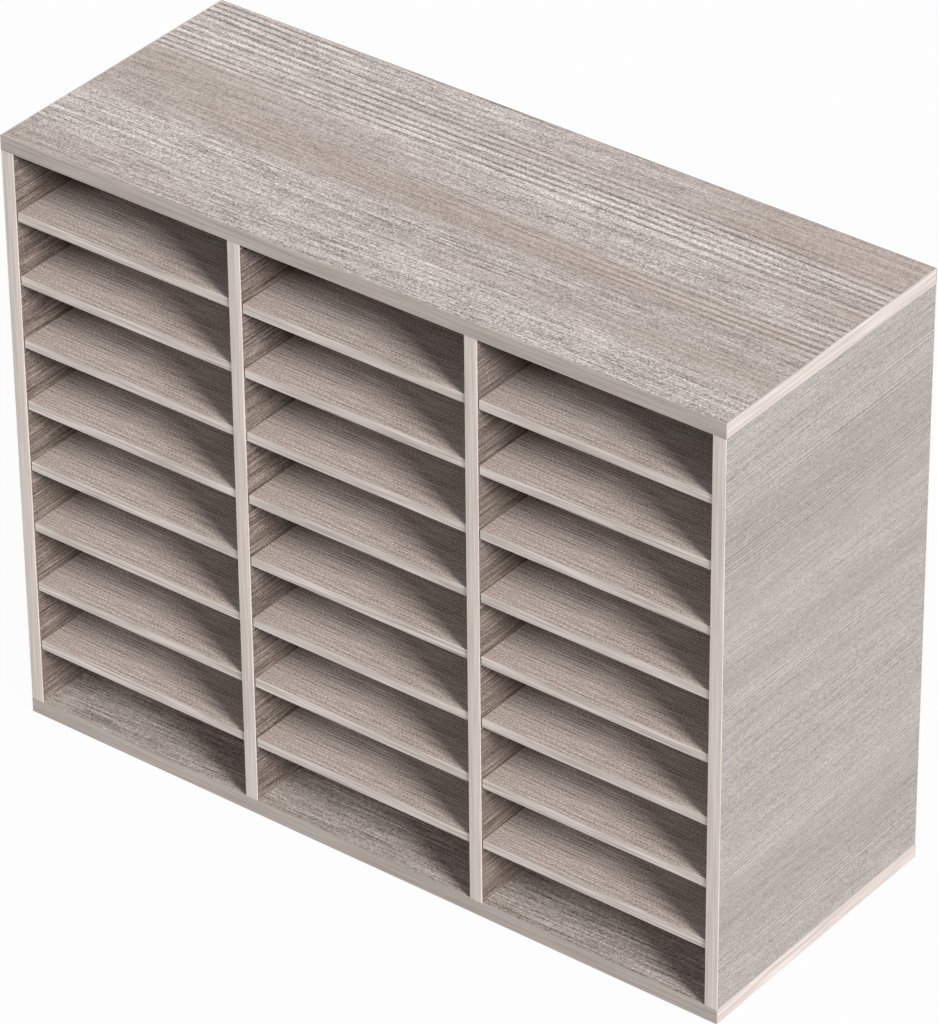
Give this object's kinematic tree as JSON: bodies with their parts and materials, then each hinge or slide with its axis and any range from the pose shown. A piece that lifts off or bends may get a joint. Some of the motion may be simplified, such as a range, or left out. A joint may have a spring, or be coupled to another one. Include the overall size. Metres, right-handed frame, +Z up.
{
  "type": "pigeonhole mail sorter",
  "caption": "Desk-top pigeonhole sorter of wood-grain melamine board: an open-fronted carcass of equal bays with loose flat shelves that slide out at the front.",
  "frame": {"origin": "on the floor plane, under the middle of the carcass", "axes": "+Z up, -Y out of the open front, +X to the right of someone who faces the front"},
  "size_m": [0.7648, 0.298, 0.604],
  "materials": {
    "grey_oak_melamine": "matt melamine paper with a printed grey-brown oak grain and an embossed pore",
    "edge_band": "matt plastic edge band printed with a plain lengthwise grain",
    "hardboard_back": "printed grain on the inside, brown fibre on the rear",
    "zinc_cam": "die-cast zinc, dull",
    "plated_steel": "zinc-plated steel",
    "nickel_pin": "nickel-plated steel"
  },
  "bodies": {
    "carcass": {"bottom_panel": "grey_oak_melamine", "top_panel": "grey_oak_melamine", "left_side_panel": "grey_oak_melamine", "right_side_panel": "grey_oak_melamine", "left_divider": "grey_oak_melamine", "right_divider": "grey_oak_melamine", "back_panel": "hardboard_back", "cam_lock_left_side_front": "zinc_cam", "cam_lock_left_side_rear": "zinc_cam", "cam_lock_left_divider_front": "zinc_cam", "cam_lock_left_divider_rear": "zinc_cam", "cam_lock_right_divider_front": "zinc_cam", "cam_lock_right_divider_rear": "zinc_cam", "cam_lock_right_side_front": "zinc_cam", "cam_lock_right_side_rear": "zinc_cam", "cam_bolt_left_side_front": "plated_steel", "cam_bolt_left_side_rear": "plated_steel", "cam_bolt_left_divider_front": "plated_steel", "cam_bolt_left_divider_rear": "plated_steel", "cam_bolt_right_divider_front": "plated_steel", "cam_bolt_right_divider_rear": "plated_steel", "cam_bolt_right_side_front": "plated_steel", "cam_bolt_right_side_rear": "plated_steel", "base_screw_left_side_front": "plated_steel", "base_screw_left_side_rear": "plated_steel", "base_screw_left_divider_front": "plated_steel", "base_screw_left_divider_rear": "plated_steel", "base_screw_right_divider_front": "plated_steel", "base_screw_right_divider_rear": "plated_steel", "base_screw_right_side_front": "plated_steel", "base_screw_right_side_rear": "plated_steel"},
    "shelf_left_1": {"shelf_left_1": "grey_oak_melamine"},
    "shelf_left_2": {"shelf_left_2": "grey_oak_melamine"},
    "shelf_left_3": {"shelf_left_3": "grey_oak_melamine"},
    "shelf_left_4": {"shelf_left_4": "grey_oak_melamine"},
    "shelf_left_5": {"shelf_left_5": "grey_oak_melamine"},
    "shelf_left_6": {"shelf_left_6": "grey_oak_melamine"},
    "shelf_left_7": {"shelf_left_7": "grey_oak_melamine"},
    "shelf_left_8": {"shelf_left_8": "grey_oak_melamine"},
    "shelf_middle_1": {"shelf_middle_1": "grey_oak_melamine"},
    "shelf_middle_2": {"shelf_middle_2": "grey_oak_melamine"},
    "shelf_middle_3": {"shelf_middle_3": "grey_oak_melamine"},
    "shelf_middle_4": {"shelf_middle_4": "grey_oak_melamine"},
    "shelf_middle_5": {"shelf_middle_5": "grey_oak_melamine"},
    "shelf_middle_6": {"shelf_middle_6": "grey_oak_melamine"},
    "shelf_middle_7": {"shelf_middle_7": "grey_oak_melamine"},
    "shelf_middle_8": {"shelf_middle_8": "grey_oak_melamine"},
    "shelf_right_1": {"shelf_right_1": "grey_oak_melamine"},
    "shelf_right_2": {"shelf_right_2": "grey_oak_melamine"},
    "shelf_right_3": {"shelf_right_3": "grey_oak_melamine"},
    "shelf_right_4": {"shelf_right_4": "grey_oak_melamine"},
    "shelf_right_5": {"shelf_right_5": "grey_oak_melamine"},
    "shelf_right_6": {"shelf_right_6": "grey_oak_melamine"},
    "shelf_right_7": {"shelf_right_7": "grey_oak_melamine"},
    "shelf_right_8": {"shelf_right_8": "grey_oak_melamine"}
  },
  "joints": [
    {"name": "shelf_left_1_slide", "type": "slide", "parent": "carcass", "child": "shelf_left_1", "axis": [0, -1, 0], "range_m": [0, 0.29]},
    {"name": "shelf_left_2_slide", "type": "slide", "parent": "carcass", "child": "shelf_left_2", "axis": [0, -1, 0], "range_m": [0, 0.29]},
    {"name": "shelf_left_3_slide", "type": "slide", "parent": "carcass", "child": "shelf_left_3", "axis": [0, -1, 0], "range_m": [0, 0.29]},
    {"name": "shelf_left_4_slide", "type": "slide", "parent": "carcass", "child": "shelf_left_4", "axis": [0, -1, 0], "range_m": [0, 0.29]},
    {"name": "shelf_left_5_slide", "type": "slide", "parent": "carcass", "child": "shelf_left_5", "axis": [0, -1, 0], "range_m": [0, 0.29]},
    {"name": "shelf_left_6_slide", "type": "slide", "parent": "carcass", "child": "shelf_left_6", "axis": [0, -1, 0], "range_m": [0, 0.29]},
    {"name": "shelf_left_7_slide", "type": "slide", "parent": "carcass", "child": "shelf_left_7", "axis": [0, -1, 0], "range_m": [0, 0.29]},
    {"name": "shelf_left_8_slide", "type": "slide", "parent": "carcass", "child": "shelf_left_8", "axis": [0, -1, 0], "range_m": [0, 0.29]},
    {"name": "shelf_middle_1_slide", "type": "slide", "parent": "carcass", "child": "shelf_middle_1", "axis": [0, -1, 0], "range_m": [0, 0.29]},
    {"name": "shelf_middle_2_slide", "type": "slide", "parent": "carcass", "child": "shelf_middle_2", "axis": [0, -1, 0], "range_m": [0, 0.29]},
    {"name": "shelf_middle_3_slide", "type": "slide", "parent": "carcass", "child": "shelf_middle_3", "axis": [0, -1, 0], "range_m": [0, 0.29]},
    {"name": "shelf_middle_4_slide", "type": "slide", "parent": "carcass", "child": "shelf_middle_4", "axis": [0, -1, 0], "range_m": [0, 0.29]},
    {"name": "shelf_middle_5_slide", "type": "slide", "parent": "carcass", "child": "shelf_middle_5", "axis": [0, -1, 0], "range_m": [0, 0.29]},
    {"name": "shelf_middle_6_slide", "type": "slide", "parent": "carcass", "child": "shelf_middle_6", "axis": [0, -1, 0], "range_m": [0, 0.29]},
    {"name": "shelf_middle_7_slide", "type": "slide", "parent": "carcass", "child": "shelf_middle_7", "axis": [0, -1, 0], "range_m": [0, 0.29]},
    {"name": "shelf_middle_8_slide", "type": "slide", "parent": "carcass", "child": "shelf_middle_8", "axis": [0, -1, 0], "range_m": [0, 0.29]},
    {"name": "shelf_right_1_slide", "type": "slide", "parent": "carcass", "child": "shelf_right_1", "axis": [0, -1, 0], "range_m": [0, 0.29]},
    {"name": "shelf_right_2_slide", "type": "slide", "parent": "carcass", "child": "shelf_right_2", "axis": [0, -1, 0], "range_m": [0, 0.29]},
    {"name": "shelf_right_3_slide", "type": "slide", "parent": "carcass", "child": "shelf_right_3", "axis": [0, -1, 0], "range_m": [0, 0.29]},
    {"name": "shelf_right_4_slide", "type": "slide", "parent": "carcass", "child": "shelf_right_4", "axis": [0, -1, 0], "range_m": [0, 0.29]},
    {"name": "shelf_right_5_slide", "type": "slide", "parent": "carcass", "child": "shelf_right_5", "axis": [0, -1, 0], "range_m": [0, 0.29]},
    {"name": "shelf_right_6_slide", "type": "slide", "parent": "carcass", "child": "shelf_right_6", "axis": [0, -1, 0], "range_m": [0, 0.29]},
    {"name": "shelf_right_7_slide", "type": "slide", "parent": "carcass", "child": "shelf_right_7", "axis": [0, -1, 0], "range_m": [0, 0.29]},
    {"name": "shelf_right_8_slide", "type": "slide", "parent": "carcass", "child": "shelf_right_8", "axis": [0, -1, 0], "range_m": [0, 0.29]}
  ]
}
